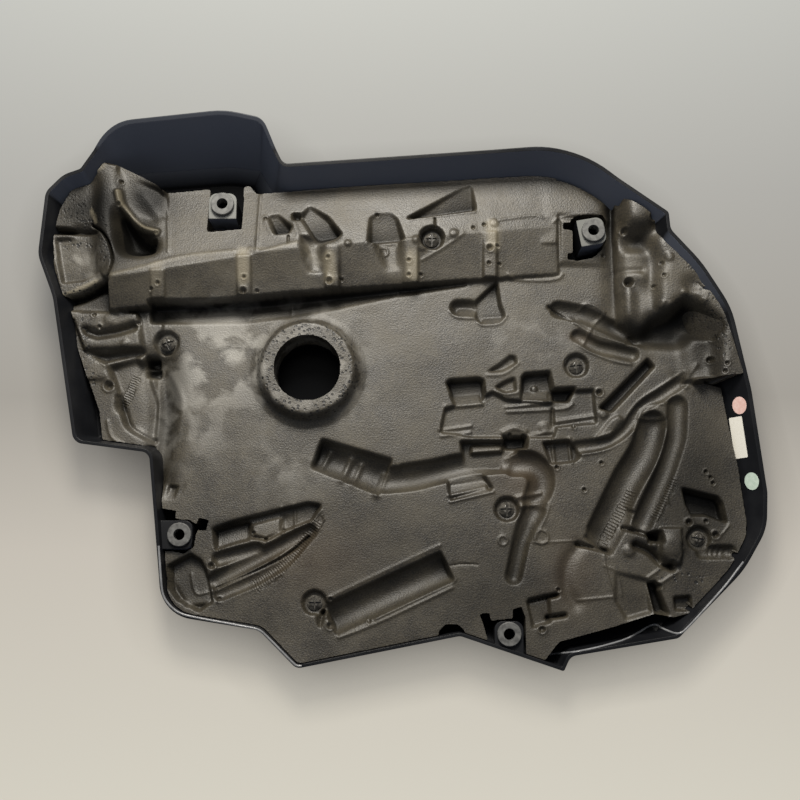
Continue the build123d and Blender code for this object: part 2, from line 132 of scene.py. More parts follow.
# Round troughs added to the solid's own: radius at each end, floor level at each end, path
HOSES = {
    "connector_hose": (11, 10, 17, 18, [(48, -70), (72, -66), (98, -64), (116, -66)]),
    "elbow": (12, 11, 17, 19, [(104, -66), (118, -66), (127, -74), (128, -86), (121, -99)]),
    "drop_hose": (10, 5, 19, 25, [(120, -108), (112, -124), (108, -134), (103, -150), (100, -166)]),
    "spray_tip": (9, 3, 18, 25, [(-103, -116), (-72, -106)]),
    "bottle_hose": (12, 11, 17, 17, [(-12, -81), (13, -79), (28, -75), (50, -70)]),
    "bent_hose": (6, 6, 23, 23, [
        (160, -52), (184, -49), (202, -39), (211, -26), (220, -14), (238, -4), (255, 8),
    ]),
    "spike_cone": (2, 8, 26, 21, [(137, 77), (162, 71)]),
    "flap_hose": (6, 6, 20, 20, [(-232, 20), (-240, 6), (-249, -14)]),
}

# Flat faces: width of the wall around them, corners with their levels
FACES = {
    "strip_end": (12, [(136, 160, 37), (192, 160, 34), (192, 176, 33), (160, 199, 32), (136, 207, 32)]),
    "room_land": (6, [(147, 118, 31), (188, 116, 29), (192, 160, 34), (147, 160, 36)]),
    "quad_floor": (3, [
        (-119, 159, 40), (-111, 161, 40), (-98, 148, 37), (-101, 142, 36), (-112, 141, 36),
    ]),
    "house_floor": (3, [
        (-90, 159, 37), (-82, 170, 37), (-65, 158, 36), (-53, 141, 34), (-58, 138, 34), (-76, 136, 34),
    ]),
    "half_round_floor": (3, [
        (-26, 157, 39), (-21, 162, 40), (-8, 163, 40), (-2, 157, 39), (4, 137, 35), (-27, 134, 35),
    ]),
    "triangle_floor": (3, [(9, 158, 32), (59, 189, 33), (67, 191, 33), (70, 168, 28)]),
    "block_well": (4, [
        (-257, 160, 18), (-252, 128, 18), (-238, 123, 18), (-222, 125, 18), (-240, 148, 18),
    ]),
    "corner_floor": (2, [
        (-204, -161, 17), (-186, -149, 17), (-172, -158, 18), (-165, -190, 21), (-186, -192, 21),
    ]),
    "spray_floor": (2, [(-163, -126, 15), (-133, -118, 15), (-133, -134, 20), (-162, -141, 20)]),
    "ridge_foot_left": (4, [
        (-225, 78, 19), (-141, 80, 19), (-98, 84, 19), (-98, 68, 26), (-141, 62, 26), (-225, 62, 26),
    ]),
    "ridge_foot_middle": (4, [
        (-98, 84, 19), (-58, 88, 21), (0, 94, 23), (0, 88, 27), (-58, 75, 26), (-98, 68, 26),
    ]),
    "ridge_foot_right": (2, [(0, 94, 23), (62, 101, 25), (62, 97, 27), (0, 87, 27)]),
    "half_moon_panel": (3, [
        (-252, 188, 44), (-246, 193, 44), (-223, 158, 38), (-240, 156, 40), (-250, 170, 42),
    ]),
    "block_panel": (2, [
        (-312, 137, 40), (-275, 139, 42), (-273, 104, 42), (-286, 98, 40), (-304, 96, 38),
    ]),
    "block_shoulder": (4, [
        (-246, 194, 44), (-222, 186, 38), (-214, 180, 36), (-212, 158, 37), (-222, 157, 43),
    ]),
    "bar_shadow": (3, [(-280, 33, 24), (-230, 37, 24), (-231, 32, 24), (-266, 25, 24)]),
    "flap_notch_upper": (2, [(-229, 22, 12), (-219, 22, 12), (-219, 30, 12), (-229, 30, 12)]),
    "flap_notch_lower": (2, [(-228, 14, 12), (-218, 14, 12), (-218, 20, 12), (-228, 20, 12)]),
    "flap_edge_hole": (2, [(-242, -58, 10), (-221, -58, 10), (-221, -51, 10), (-242, -51, 10)]),
    "strip_notch": (2, [(-97, 156, 34), (-90, 156, 34), (-90, 162, 34), (-97, 162, 34)]),
    "oval_ramp": (2, [(54, 70, 27), (70, 69, 27), (70, 77, 21), (55, 78, 21)]),
    "pennant_ramp": (2, [(76, 62, 27), (92, 63, 27), (94, 70, 21), (77, 69, 21)]),
    "left_pocket_ramp": (2, [(47, -4, 17), (73, -1, 17), (76, -13, 26), (51, -15, 26)]),
    "right_pocket_ramp": (2, [(113, 1, 17), (136, 2, 17), (136, -9, 25), (111, -9, 25)]),
    "side_pocket": (3, [(138, 1, 14), (159, 2, 14), (153, -9, 14), (139, -9, 14)]),
    "clip_slit": (3, [(94, -42, 12), (115, -42, 12), (114, -52, 12), (96, -52, 12)]),
    "lens_island": (3, [
        (176, -44, 30), (190, -27, 31), (197, -23, 31), (202, -27, 31), (189, -42, 30),
    ]),
    "connector_catch": (2, [(65, -57, 24), (93, -55, 24), (93, -48, 19), (65, -49, 19)]),
    "plate_ramp": (2, [(46, -97, 27), (80, -90, 27), (77, -80, 20), (45, -85, 20)]),
    "spray_body": (2, [
        (-131, -121, 23), (-105, -114, 23), (-105, -128, 24), (-118, -133, 25), (-130, -130, 25),
    ]),
    "small_dimple": (3, [(-208, -98, 27), (-200, -98, 27), (-197, -87, 23), (-205, -86, 23)]),
    "knob_hole": (3, [(221, -137, 19), (232, -134, 19), (231, -127, 19), (222, -128, 19)]),
    "corner_facet": (4, [
        (191, -163, 25), (218, -169, 24), (221, -197, 22), (199, -203, 23), (190, -187, 25),
    ]),
    "block_rough": (5, [(258, 8, 33), (283, 10, 35), (287, 45, 36), (258, 46, 34)]),
    "block_shelf": (3, [(229, 142, 40), (248, 142, 40), (248, 155, 38), (231, 155, 38)]),
}

# Grooves: width, depth, path
GROOVES = {
    "block_crack": (1.8, 7, [
        (-279, 150), (-269, 143), (-262, 132), (-258, 117), (-258, 111), (-261, 101),
    ]),
    "block_step": (4, 4, [(-313, 146), (-276, 143)]),
    "left_valley": (24, 12, [(-216, 24), (-213, 5), (-210, -20), (-211, -45), (-216, -80)]),
    "flap_groove": (5, 5, [(-253, -6), (-248, -20), (-244, -33), (-232, -40), (-221, -45)]),
    "strip_edge": (18, 3, [(197, 175), (197, 120), (196, 64)]),
    "strip_slit": (1.4, 3, [(33, 150), (33, 158)]),
    "quad_slit": (1.4, 3, [(-100, 131), (-100, 138)]),
    "conduit_divider": (2.5, 4, [(-162, -177), (-141, -168), (-123, -160), (-97, -146), (-80, -131)]),
    "wide_hose_end": (4, 5, [(158, -138), (184, -144)]),
    "narrow_hose_end": (4, 6, [(200, -124), (223, -130), (231, -136)]),
    "corner_band": (7, 8, [(210, -139), (222, -144), (231, -154), (240, -158)]),
    "brown_valley": (12, 2.5, [(158, -141), (150, -150), (146, -163), (147, -180), (155, -190)]),
    "arc_line": (1.6, 1, [(45, -157), (57, -155), (69, -156)]),
    "box_slot": (4, 6, [(131, -202), (145, -200)]),
    "recess_groove": (3, 3, [(139, -30), (139, -17)]),
    "saddle_line": (6, 2, [(201, 109), (221, 109)]),
    "block_undercut": (6, 7, [(-304, 80), (-288, 84), (-274, 91), (-262, 98)]),
    "cone_edge": (2, 2, [(137, 78), (158, 65)]),
}

# Lip of the half-moon panel
HALF_MOON = [(-256, 180), (-254, 170), (-247, 161), (-239, 151), (-231, 146), (-220, 143)]

# Lips: share of their heights that the worn skin keeps, then width, height and path
LIP_SHARE = 0.55
LIPS = {
    "block_panel_left": (3, 1.6, [(-312, 118), (-305, 95)]),
    "block_panel_right": (3, 1.4, [(-273, 128), (-272, 103)]),
    "tongue_left": (3, 2, [(-146, 186), (-146, 155)]),
    "tongue_right": (3, 1.6, [(-128, 182), (-128, 124)]),
    "half_moon_lip": (6, 9, HALF_MOON),
    "block_side": (3, 1.5, [(-214, 179), (-212, 158), (-209, 139), (-208, 123)]),
    "ridge_crest_left": (4, 1.2, [(-261, 99), (-232, 106), (-207, 115), (-187, 119), (-148, 123)]),
    "ridge_crest_middle": (4, 1.2, [(-134, 125), (-126, 121), (-116, 124), (-92, 131)]),
    "quad_bevel": (4, 1.2, [(-122, 154), (-115, 139), (-99, 140)]),
    "house_channel": (5, 1.6, [(-97, 157), (-94, 146), (-88, 132), (-81, 118)]),
    "half_round_lip": (3, 1.2, [(-28, 132), (4, 135)]),
    "triangle_lip": (2.5, 1.2, [(9, 156), (70, 165)]),
    "facet_crest": (3, 1.2, [(21, 118), (45, 132), (59, 143)]),
    "last_facet_lip": (3, 1.6, [(100, 107), (104, 103), (133, 102), (147, 104), (150, 108)]),
    "last_facet_top": (3, 1.2, [(92, 157), (126, 163), (132, 160)]),
    "room_rim": (3, 1.5, [(142, 156), (148, 161), (171, 164), (186, 165), (192, 156)]),
    "oval_lip": (3, 1.4, [(47, 73), (50, 69), (57, 67), (70, 67)]),
    "pennant_lip": (3, 1.4, [(73, 62), (76, 60), (92, 61), (98, 69)]),
    "crescent_lip": (3, 1.4, [(80, 14), (96, 14), (108, 25)]),
    "lens_lip": (3, 1.4, [(87, -1), (97, -4), (108, -2)]),
    "recess_left_lip": (3, 1.8, [(37, -36), (65, -32)]),
    "recess_second_lip": (3, 1.8, [(38, -42), (64, -38)]),
    "recess_side": (3, 1.2, [(42, -14), (38, -26), (36, -36)]),
    "upper_bar": (3, 2.2, [(97, -15), (133, -11)]),
    "lower_bar": (3, 2.2, [(98, -19), (139, -17), (152, -16), (157, -12)]),
    "right_bar": (4, 2.6, [(142, -28), (175, -23)]),
    "right_second_bar": (3, 2, [(143, -34), (176, -28)]),
    "catch_bar": (4, 3, [(117, -41), (138, -37)]),
    "clip_arc": (5, 3, [(94, -38), (104, -33), (114, -37)]),
    "hose_lower_lip": (3, 2, [(160, -59), (184, -55), (199, -47), (211, -37)]),
    "hose_upper_lip": (3, 1.6, [
        (178, -43), (195, -38), (203, -29), (208, -19), (218, -8), (236, 3), (257, 17),
    ]),
    "nest_ring_left": (3, 3, [(138, -45), (140, -66)]),
    "nest_ring_right": (3, 3, [(153, -44), (155, -65)]),
    "elbow_ring": (4, 2.6, [(105, -97), (127, -92)]),
    "elbow_second_ring": (4, 2.6, [(107, -105), (131, -101)]),
    "elbow_edge": (2, 1, [(134, -104), (129, -118), (119, -136)]),
    "raised_line": (2, 1, [(119, -137), (157, -135)]),
    "plate_lip": (2.5, 1.5, [(44, -95), (78, -87)]),
    "plate_second_lip": (2.5, 1.8, [(46, -101), (84, -92)]),
    "bottle_ring_first": (5, 3, [(-62, -56), (-69, -70)]),
    "bottle_ring_second": (6, 4, [(-43, -62), (-51, -80)]),
    "bottle_ring_third": (5, 3, [(-34, -67), (-41, -84)]),
    "bottle_ring_last": (6, 4, [(-13, -76), (-20, -94)]),
    "cylinder_lip": (3, 1.8, [(49, -170), (17, -185), (-20, -203)]),
    "cylinder_second_lip": (3, 1.8, [(47, -176), (15, -191), (-24, -209), (-52, -219)]),
    "cylinder_end": (3, 1.2, [(36, -140), (41, -150), (50, -168)]),
    "cylinder_top_lip": (3, 1, [(-62, -185), (-37, -173), (36, -139)]),
    "spray_ring_left": (3, 2, [(-104, -106), (-103, -129)]),
    "spray_ring_right": (3, 2, [(-93, -104), (-92, -123)]),
    "spray_lip": (3, 1.5, [(-69, -108), (-77, -120), (-100, -129), (-104, -133), (-118, -138)]),
    "conduit_lip": (3, 1.5, [
        (-158, -188), (-128, -177), (-108, -165), (-91, -152), (-81, -139), (-71, -124),
    ]),
    "corner_lines": (2.5, 1.6, [(-184, -164), (-180, -183), (-169, -180)]),
    "hose_wall": (5, 2.4, [(241, -30), (236, -58), (226, -76), (214, -95), (206, -112)]),
    "arc_island": (3, 2, [(216, -25), (219, -17), (229, -12), (239, -12)]),
    "arc_bar": (4, 2.4, [(220, -25), (237, -25)]),
    "dark_pocket_line": (2, 1.5, [(285, -130), (292, -122)]),
    "wedge_line": (2, 1.5, [(251, -142), (245, -153)]),
    "first_step": (3, 2, [(218, -168), (231, -159)]),
    "second_step": (3, 2, [(230, -172), (244, -163)]),
    "facet_line": (2.5, 1.4, [(181, -148), (181, -157), (189, -187)]),
    "facet_second_line": (2.5, 1.2, [(181, -157), (193, -161), (196, -183)]),
    "facet_bottom_line": (2.5, 1.4, [(157, -187), (187, -184)]),
    "spike_cap": (3, 2, [(166, 76), (171, 81), (179, 79), (188, 73)]),
    "spike_clamp": (3, 2, [(187, 70), (178, 62), (174, 55), (168, 43)]),
    "spike_lip": (3, 2, [(160, 63), (175, 52), (205, 43)]),
    "second_pipe_lip": (3, 1.8, [(159, 47), (168, 38), (183, 31), (197, 26), (210, 24)]),
    "valley_crest": (7, 3, [(-209, 18), (-199, 0), (-195, -13), (-198, -32), (-203, -58), (-210, -86)]),
    "flap_panel_edge": (3, 1.8, [(-269, 25), (-264, 21), (-259, 13), (-256, 3), (-253, -6)]),
    "flap_crescent": (3, 1.8, [(-262, -28), (-260, -38), (-256, -45), (-247, -49)]),
    "rough_ridge": (4, 2, [(268, 22), (255, 6), (259, 3)]),
    "box_left_line": (2, 1.2, [(112, -191), (117, -210), (127, -207)]),
}

# Fine moulded ribs: reach each side of the path, pitch, path
RIBS = {
    "conduit": (5, 2.3, [
        (-128, -175), (-114, -167), (-103, -158), (-94, -150), (-86, -139), (-71, -117),
    ]),
    "wide_hose": (4, 2.9, [(209, -90), (198, -109), (181, -137)]),
    "narrow_hose": (3, 2.4, [(246, -80), (238, -97), (227, -115)]),
    "ribbed_finger": (5, 4.4, [(272, -141), (289, -147)]),
    "flap_hose": (4, 2.2, [(-237, 14), (-249, -13)]),
}

# Pitted skin: width, path
PITTED = {
    "block_corner": (26, [(-297, 166), (-284, 158)]),
    "block_bar": (8, [(-306, 133), (-276, 133)]),
    "block_edge": (8, [(-306, 84), (-278, 94)]),
    "block_hump": (12, [(-268, 150), (-264, 115)]),
    "flap": (12, [(-290, 62), (-284, 46), (-276, 8)]),
    "plateau": (14, [(262, 118), (284, 74), (292, 30)]),
    "corner": (16, [(232, -165), (262, -170)]),
}

# Rings: middle, radius
RINGS = {"line_ring": (126, -132, 6), "small_ring": (92, -135, 4), "half_round_ring": (-14, 126, 4)}

# Smooth pads that stand up: middle, radius, height
PADS = [
    (16, 136, 4, 1.6), (21, 130, 4, 1.6), (50, 143, 4, 1.6), (-46, 131, 3, 1.4), (87, 154, 4, 1.4),
    (235, 76, 4, 1.6), (245, 74, 4, 1.6), (257, 86, 3, 1.4), (274, 78, 3, 1.4), (244, 119, 4, 1.4),
    (184, -22, 4, 1.8), (123, 3, 3, 2.2), (131, -33, 5, 1.6), (203, -144, 5, 2), (241, -140, 11, 3),
    (216, 163, 15, 4), (225, -139, 3, 2), (-262, 64, 5, 1.2), (-247, 41, 4, 1.6),
]

# Rims and pits of bubbles, in shares of their radius
BUBBLE_RIM = {"rise": 0.35, "place": 1.2, "width": 0.4}
BUBBLE_PIT = {"depth": 1.3, "width": 0.8}

# Open bubbles and pits: middle, radius
BUBBLES = [
    (-255, 169, 2), (-234, 145, 2), (-222, 134, 3), (-220, 142, 2), (-254, 191, 2), (-236, 61, 2),
    (-276, 68, 2), (-271, 57, 2), (-262, 4, 4), (-122, 157, 2), (-216, 93, 2), (-222, 88, 2),
    (-139, 99, 2), (-140, 87, 3), (-128, 88, 2), (-63, 97, 3), (-52, 99, 2), (-64, 118, 2),
    (-20, 161, 2), (9, 104, 2), (20, 105, 2), (9, 117, 2), (83, 130, 3), (90, 132, 2), (82, 116, 2),
    (92, 116, 2), (78, 152, 2), (68, 149, 2), (188, 126, 2), (206, 146, 3), (231, 157, 3), (209, 98, 4),
    (238, 114, 2), (239, 102, 2), (231, 93, 2), (283, 46, 3), (280, 26, 3), (290, 14, 2), (292, 21, 2),
    (181, -2, 3), (157, -33, 2), (100, -40, 2), (112, -41, 2), (165, -90, 2), (141, -70, 2),
    (181, -66, 2), (125, -212, 3), (140, -178, 2), (274, -74, 2), (278, -79, 2), (280, -84, 2),
    (257, -119, 3), (272, -118, 2), (280, -130, 3), (240, -155, 3), (228, -175, 3), (-165, -157, 3),
    (-158, -186, 2), (-102, -126, 2), (-118, -134, 2), (-129, -128, 2), (-161, -142, 2), (-66, -198, 3),
    (-60, -209, 3), (-60, -186, 2), (-26, -205, 2),
]

# Stains, and patches of painted shade: middle, half-width each way, strength
DUST = [
    (-165, 30, 42, 42, 1.0), (-82, 24, 46, 44, 0.8), (-72, 122, 14, 10, 0.6), (-293, 112, 18, 16, 0.9),
    (-190, -35, 30, 30, 0.5), (120, 45, 40, 20, 0.4), (-100, -70, 30, 25, 0.4),
]
BROWN = [
    (-75, -150, 45, 30, 0.35), (112, -80, 28, 25, 0.4), (150, -165, 22, 35, 0.35),
    (165, 49, 12, 6, 0.5),
]
# Mostly painted shade in wells, under lips and on slopes away from the lamp, and painted falloff of light
# towards the near side and the right
PAINTED_SHADE = [
    (-292, 165, 22, 20, 0.9), (-267, 165, 12, 45, 0.8), (-238, 135, 26, 18, 0.8),
    (-235, 178, 20, 18, 0.7), (-255, 115, 16, 14, 0.5), (-222, 172, 20, 22, 0.6),
    (-185, -172, 20, 20, 0.5), (-147, -121, 17, 7, 0.8), (-92, -108, 22, 6, 0.7),
    (0, -150, 130, 60, 0.25), (140, -40, 80, 70, 0.2), (240, 52, 55, 14, 0.95), (275, 25, 22, 22, 0.6),
    (275, -60, 30, 45, 0.5), (255, -125, 45, 45, 0.5), (100, -185, 70, 30, 0.35),
    (-210, -22, 9, 42, 0.9), (232, -60, 30, 50, 0.35),
]

# Torn or rubbed foam, paler than its skin, and pale lines that are painted highlights
# along the half-moon lip and the ridge's crests: width, strength, path
TORN_AND_HIGHLIGHTS = {
    "lower_edge": (4, 0.5, [(-309, 83), (-298, 86), (-284, 92), (-274, 98)]),
    "crumbled_corner": (9, 0.4, [(-281, 202), (-273, 206)]),
    "crack_lip": (3, 0.3, [(-281, 165), (-276, 152)]),
    "first_pillar": (12, 0.2, [(-217, 108), (-217, 95)]),
    "second_pillar": (12, 0.45, [(-140, 121), (-140, 98)]),
    "third_pillar": (12, 0.45, [(-63, 119), (-62, 100)]),
    "fourth_pillar": (12, 0.45, [(12, 121), (12, 104)]),
    "fifth_pillar": (12, 0.45, [(85, 152), (86, 133)]),
    "saddle": (12, 0.12, [(-82, 128), (-72, 116)]),
    # Painted highlights along the half-moon lip and the ridge's crests
    "half_moon_lip": (5, 0.35, HALF_MOON),
    "left_crest": (4, 0.15, [(-261, 99), (-217, 111), (-187, 119), (-148, 123)]),
    "middle_crest": (4, 0.15, [(-134, 125), (-116, 124), (-92, 131)]),
}

# Rolled edges of the shell's two lower corners, pale as a painted highlight
RIM_LIPS = [
    [
        (134, -234), (154, -231), (175, -227), (206, -219), (227, -206), (233, -212), (243, -217),
        (253, -208), (270, -190), (285, -174), (301, -154),
    ],
    [
        (-210, -140), (-207, -174), (-205, -184), (-199, -192), (-191, -198), (-181, -201),
        (-130, -210), (-121, -212), (-115, -217), (-91, -241), (-88, -243), (-84, -243),
    ],
]
RIM_LIP_RADIUS = 1.0

# Painted light on the shell, pale and bluish: turn of a wall where it starts and is full, and the same for x
# on the lobe's end
WALL_TURN = (-0.3, -0.8)
LOBE_END = (-60, -90)

# Painted reflection of the lamp on the tops of the two upper holders: middles of their plates, and where it
# begins to end and ends
UPPER_HOLDERS = [(-160, 167, 51), (177, 145, 42)]
HOLDER_SHEEN = (16, 22)

# Painted shade deep in the shell: level up to which it is full, level where it ends
DEEP_SHADE_LEVELS = (4, 14)

# Camera: place in millimetres, tilt in degrees, lens and sensor
CAMERA = (1.0, -196.7, 1093.6)
CAMERA_TILT = 10
LENS = 54
SENSOR = 36

# Floor: its size and the reach of its tones in metres, its gap and the reach of its shade in millimetres
FLOOR_SIZE = 8
FLOOR_REACH = 0.4
FLOOR_GAP = 0.5
FLOOR_SHADE = 60
FLOOR_NEAR = "#dcd8cb"
FLOOR_BETWEEN = [(0.32, "#c6c0b6"), (0.5, "#a39f98"), (0.75, "#aaa9a5")]
FLOOR_FAR = "#b9bab6"

# Share of the floor's brightness that the camera sees without the lamps' shadow
SHADOW_LIFT = 0.75

# Lamps: place and size in metres, watts
LAMPS = {"key": ((-0.08, 0.85, 0.95), 0.4, 22), "top": ((-0.12, 0.35, 0.9), 0.3, 2.0)}


def linear(code):
    """Linear colour from an sRGB hex code."""
    parts = [int(code[place:place + 2], 16) / 255 for place in (1, 3, 5)]
    return tuple(c / 12.92 if c <= 0.04045 else ((c + 0.055) / 1.055) ** 2.4 for c in parts) + (1.0,)


def wire(tree, made, inputs):
    """Sets or links inputs of a node."""
    for name, value in inputs.items():
        if isinstance(value, bpy.types.NodeSocket):
            tree.links.new(value, made.inputs[name])
        else:
            made.inputs[name].default_value = value


def node(tree, kind, inputs=None, **settings):
    """Adds a node with its settings, and sets or links its inputs."""
    made = tree.nodes.new(kind)
    for name, value in settings.items():
        setattr(made, name, value)
    wire(tree, made, inputs or {})
    return made


def surface(name):
    """New material, with its node tree, its shader and the place on the piece."""
    material = bpy.data.materials.new(name)
    material.use_nodes = True
    tree = material.node_tree
    place = node(tree, "ShaderNodeTexCoord").outputs["Object"]
    return material, tree, tree.nodes["Principled BSDF"], place


def noise(tree, place, size, detail, distortion=0.0):
    """Noise with grains of about a size in millimetres."""
    return node(
        tree, "ShaderNodeTexNoise",
        {"Vector": place, "Scale": 1 / (size * MM), "Detail": detail, "Distortion": distortion}).outputs[0]


def ranged(tree, value, start, end, first=0.0, last=1.0):
    """Value that runs from first to last while another runs from start to end."""
    return node(tree, "ShaderNodeMapRange", {0: value, 1: start, 2: end, 3: first, 4: last}).outputs[0]


def joined(tree, operation, first, second, clamp=False):
    """Two values joined by an operation."""
    return node(
        tree, "ShaderNodeMath", {0: first, 1: second}, operation=operation, use_clamp=clamp).outputs[0]


def blended(tree, share, under, over):
    """Colour with a share of another laid over it."""
    return node(tree, "ShaderNodeMix", {0: share, 6: under, 7: over}, data_type="RGBA").outputs[2]


def distance(tree, place, point):
    """Distance from a point in millimetres."""
    spot = tuple(value * MM for value in point)
    return node(tree, "ShaderNodeVectorMath", {0: place, 1: spot}, operation="DISTANCE").outputs["Value"]


# Glass-filled nylon, moulded: black, a fine spark-eroded grain, and painted shade deep inside;
# pale bluish painted light on the walls that face the near side and on the end of the upper lobe;
# a painted reflection of the lamp on the tops of the two upper holders
shell_plastic, tree, shader, place = surface("black_nylon")
axes = node(tree, "ShaderNodeSeparateXYZ", {0: place}).outputs
normal = node(tree, "ShaderNodeNewGeometry").outputs["Normal"]
facing = node(tree, "ShaderNodeSeparateXYZ", {0: normal}).outputs
clouding = ranged(tree, noise(tree, place, 40, 5.0), 0.45, 0.8, 0.0, 0.25)
colour = blended(tree, clouding, linear("#131417"), linear("#3a3b3e"))
# Painted light: walls that face the near side, and the lobe's end, are painted pale and bluish as if lit from
# the near side
near_wall = ranged(tree, facing["Y"], *WALL_TURN)
end_wall = ranged(tree, facing["X"], *WALL_TURN)
left_part = ranged(tree, axes["X"], LOBE_END[0] * MM, LOBE_END[1] * MM)
painted_wall_light = joined(tree, "MAXIMUM", near_wall, joined(tree, "MULTIPLY", end_wall, left_part))
colour = blended(tree, painted_wall_light, colour, linear("#666c7a"))
# Painted shade: the shell is painted near-black low down, where the filler hole and the lobe's floor lie in
# shade, and reflects less there
deep_shade = ranged(tree, axes["Z"], DEEP_SHADE_LEVELS[0] * MM, DEEP_SHADE_LEVELS[1] * MM, 1.0, 0.0)
colour = blended(tree, deep_shade, colour, linear("#08090b"))
# Painted reflection: the tops of the two upper holders are painted pale where they would mirror the lamp
for holder in UPPER_HOLDERS:
    painted_sheen = ranged(tree, distance(tree, place, holder), HOLDER_SHEEN[0] * MM, HOLDER_SHEEN[1] * MM, 1.0, 0.0)
    upward = joined(tree, "MULTIPLY", painted_sheen, facing["Z"], clamp=True)
    colour = blended(tree, upward, colour, linear("#6f706d"))
edges = node(tree, "ShaderNodeBevel", {"Radius": 1.0 * MM}, samples=4)
grain = noise(tree, place, 0.9, 2.0)
bump = node(
    tree, "ShaderNodeBump",
    {"Strength": 0.2, "Distance": 0.1 * MM, "Height": grain, "Normal": edges.outputs[0]})
wire(tree, shader, {
    "Base Color": colour,
    "Roughness": 0.42,
    "Specular IOR Level": ranged(tree, deep_shade, 0.0, 1.0, 0.28, 0.02),
    "Normal": bump.outputs[0],
})

# The same nylon on its rolled edge, paler and smoother: a painted highlight
rim_highlight_plastic, tree, shader, place = surface("scuffed_nylon")
wire(tree, shader, {
    "Base Color": blended(tree, noise(tree, place, 6, 4.0), linear("#4b4c4f"), linear("#a5a6a8")),
    "Roughness": 0.25,
})

# Polyurethane foam with a moulded skin: satin grey-brown, mottled, with brown stains, painted shade in its
# hollows and dark patches, flaking dust, pale torn places, painted highlights on a lip and crests, open pores
# and fine ribs
foam_skin, tree, shader, place = surface("skinned_polyurethane_foam")
marks = {
    name: node(tree, "ShaderNodeAttribute", attribute_name=name).outputs["Fac"]
    for name in ("hollow", "grime", "dust", "brown", "torn", "pitted", "rib_phase", "rib_share")
}
mottle = noise(tree, place, 30, 6.0)
salt = noise(tree, place, 1.2, 1.0)
tone = ranged(tree, joined(tree, "ADD", mottle, salt), 0.75, 1.25)
colour = blended(tree, tone, linear("#231f18"), linear("#474134"))
colour = blended(tree, marks["brown"], colour, linear("#4d3d28"))
# Painted shade: hollows and dark patches are painted near-black and lose most of their sheen
painted_dark = joined(tree, "MAXIMUM", marks["hollow"], marks["grime"])
colour = blended(tree, painted_dark, colour, linear("#100f0d"))
flakes = ranged(tree, noise(tree, place, 26, 9.0, 0.3), 0.46, 0.58, 0.05, 0.7)
colour = blended(tree, joined(tree, "MULTIPLY", marks["dust"], flakes), colour, linear("#a3a099"))
# Pale torn places, and painted highlights along the half-moon lip and the ridge's crests
colour = blended(tree, marks["torn"], colour, linear("#948b76"))
pores = node(tree, "ShaderNodeTexVoronoi", {"Vector": place, "Scale": 1 / (4.0 * MM)})
pit = ranged(tree, pores.outputs["Distance"], 0.22, 0.36, 1.0, 0.0)
flat = node(tree, "ShaderNodeVectorMath", {0: place, 1: (1, 1, 0)}, operation="MULTIPLY").outputs[0]
to_collar = distance(tree, flat, (*COLLAR, 0))
on_collar = ranged(tree, to_collar, COLLAR_PITS[0] * MM, COLLAR_PITS[1] * MM, 1.0, 0.0)
pits = joined(tree, "MULTIPLY", pit, joined(tree, "MAXIMUM", on_collar, marks["pitted"]))
colour = blended(tree, pits, colour, linear("#0c0b09"))
rib_turn = joined(tree, "MULTIPLY", marks["rib_phase"], 2 * pi)
rib_wave = node(tree, "ShaderNodeMath", {0: rib_turn}, operation="SINE").outputs[0]
ribs = joined(tree, "MULTIPLY", rib_wave, marks["rib_share"])
skin = joined(tree, "SUBTRACT", noise(tree, place, 1.4, 3.0), pits)
skin_bump = node(tree, "ShaderNodeBump", {"Strength": 0.7, "Distance": 0.5 * MM, "Height": skin})
rib_bump = node(
    tree, "ShaderNodeBump",
    {"Strength": 0.7, "Distance": 0.3 * MM, "Height": ribs, "Normal": skin_bump.outputs[0]})
wire(tree, shader, {
    "Base Color": colour,
    "Roughness": ranged(tree, mottle, 0.3, 0.7, 0.46, 0.56),
    "Specular IOR Level": ranged(tree, painted_dark, 0.0, 1.0, 0.8, 0.2),
    "Normal": rib_bump.outputs[0],
})

# Small finishes: two colours of their mottling, its size in millimetres, roughness, height of the bump
FINISHES = {
    # Moulded rubber of the grommets: black rubber painted mid-grey, partly for its bloom and dust and partly
    # as painted sheen, softly uneven
    "grommet_rubber": ("#4a4a49", "#6a6a68", 4.0, 0.55, 0.15),
    # Moulded acetal of the clips: dark and glossy, with a few scuffs
    "clip_plastic": ("#33312e", "#625f59", 2.5, 0.16, 0.05),
    # Coated paper of the label: off-white, fine fibres
    "label_paper": ("#eae6da", "#f6f3ea", 0.8, 0.55, 0.03),
    # Dyed sticker papers: flat colours, slightly faded in patches
    "pink_sticker": ("#e6bcb2", "#f0cfc6", 3.0, 0.5, 0.02),
    "green_sticker": ("#c2d5c6", "#d3e2d6", 3.0, 0.5, 0.02),
}
finishes = {"moulded_shell": shell_plastic, "skinned_foam": foam_skin}
for name, (dark, pale, size, roughness, depth) in FINISHES.items():
    material, tree, shader, place = surface(name)
    mottle = noise(tree, place, size, 4.0)
    bump = node(tree, "ShaderNodeBump", {"Strength": 0.5, "Distance": depth * MM, "Height": mottle})
    wire(tree, shader, {
        "Base Color": blended(tree, ranged(tree, mottle, 0.35, 0.65), linear(dark), linear(pale)),
        "Roughness": roughness,
        "Normal": bump.outputs[0],
    })
    finishes[name] = material
for part in frame["record"]["subparts"]:
    cad = frame["nodes"][part["node"]]
    cad.data.materials.clear()
    cad.data.materials.append(finishes[part["material_slot"]])


def surface_tree(name):
    """Tree for casting rays at a CAD node."""
    cad = frame["nodes"][name]
    return BVHTree.FromPolygons(
        [cad.matrix_world @ vertex.co for vertex in cad.data.vertices],
        [polygon.vertices for polygon in cad.data.polygons])


